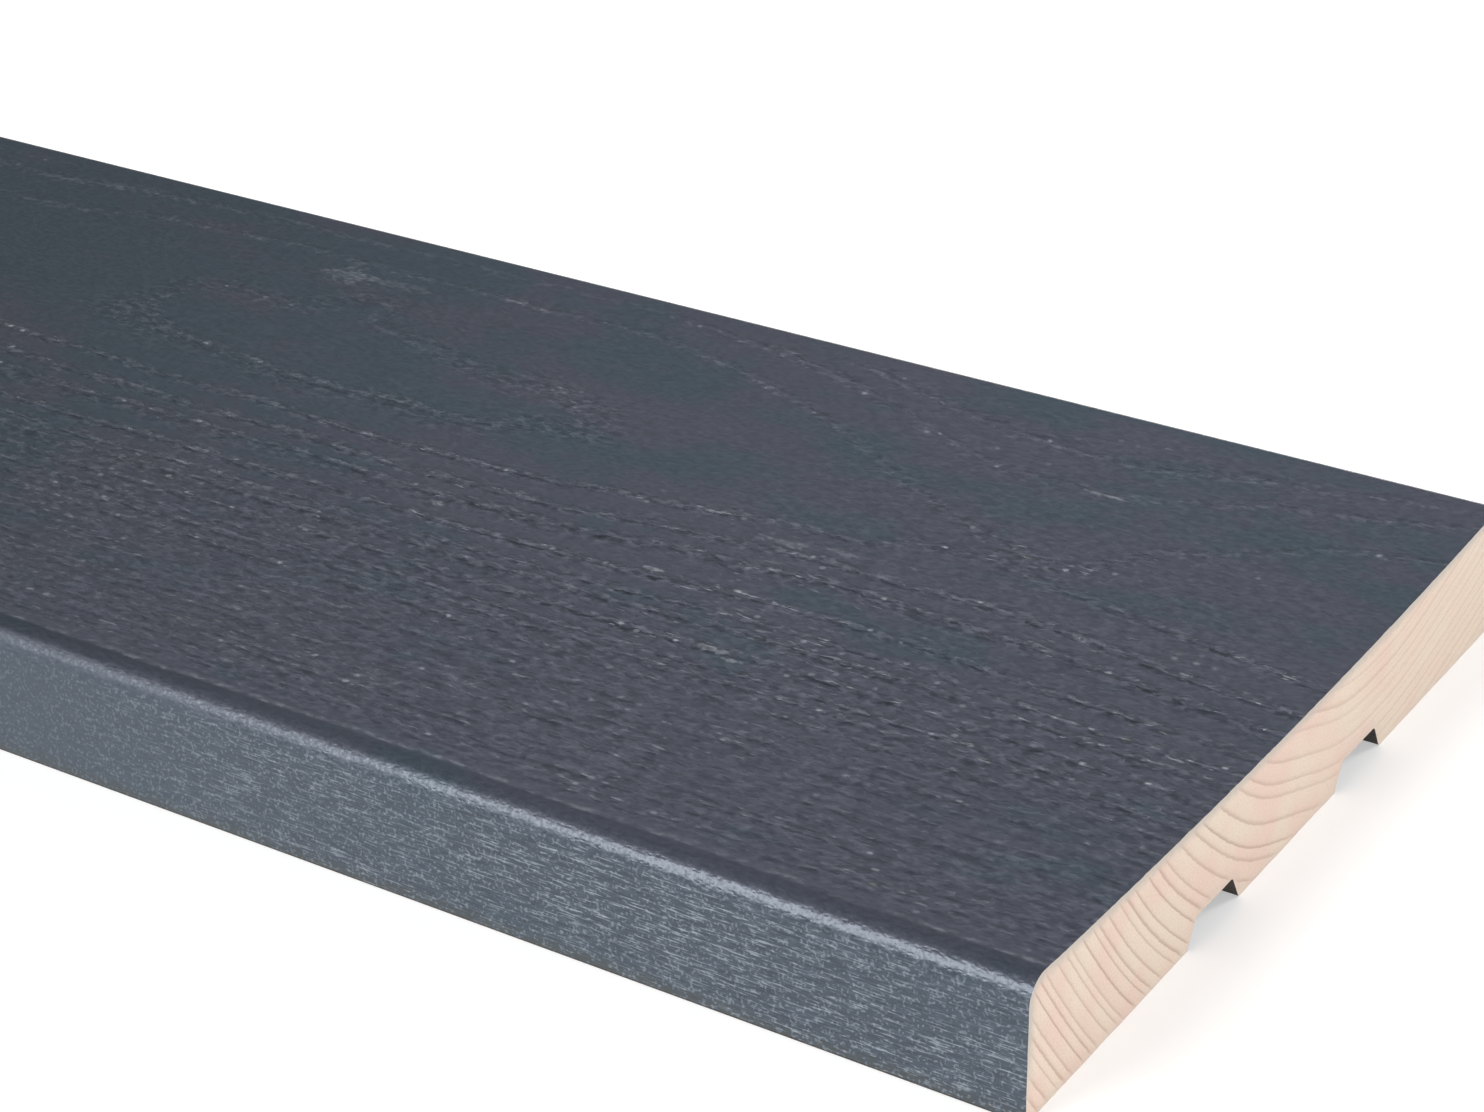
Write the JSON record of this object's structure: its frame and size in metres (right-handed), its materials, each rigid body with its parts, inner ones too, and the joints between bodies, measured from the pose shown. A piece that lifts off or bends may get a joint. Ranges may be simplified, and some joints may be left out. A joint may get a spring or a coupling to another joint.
{
  "type": "exterior cladding board",
  "caption": "Painted softwood exterior cladding board with rounded face arrises and shallow relief grooves along its back.",
  "frame": {"origin": "middle of the back, in the plane of the back lands, half way along the board", "axes": "+X along the board, +Y across its width, +Z out of the painted face"},
  "size_m": [3, 0.145, 0.02],
  "materials": {
    "painted_softwood": "satin"
  },
  "bodies": {
    "root": {"cladding_board": "painted_softwood"}
  },
  "joints": []
}
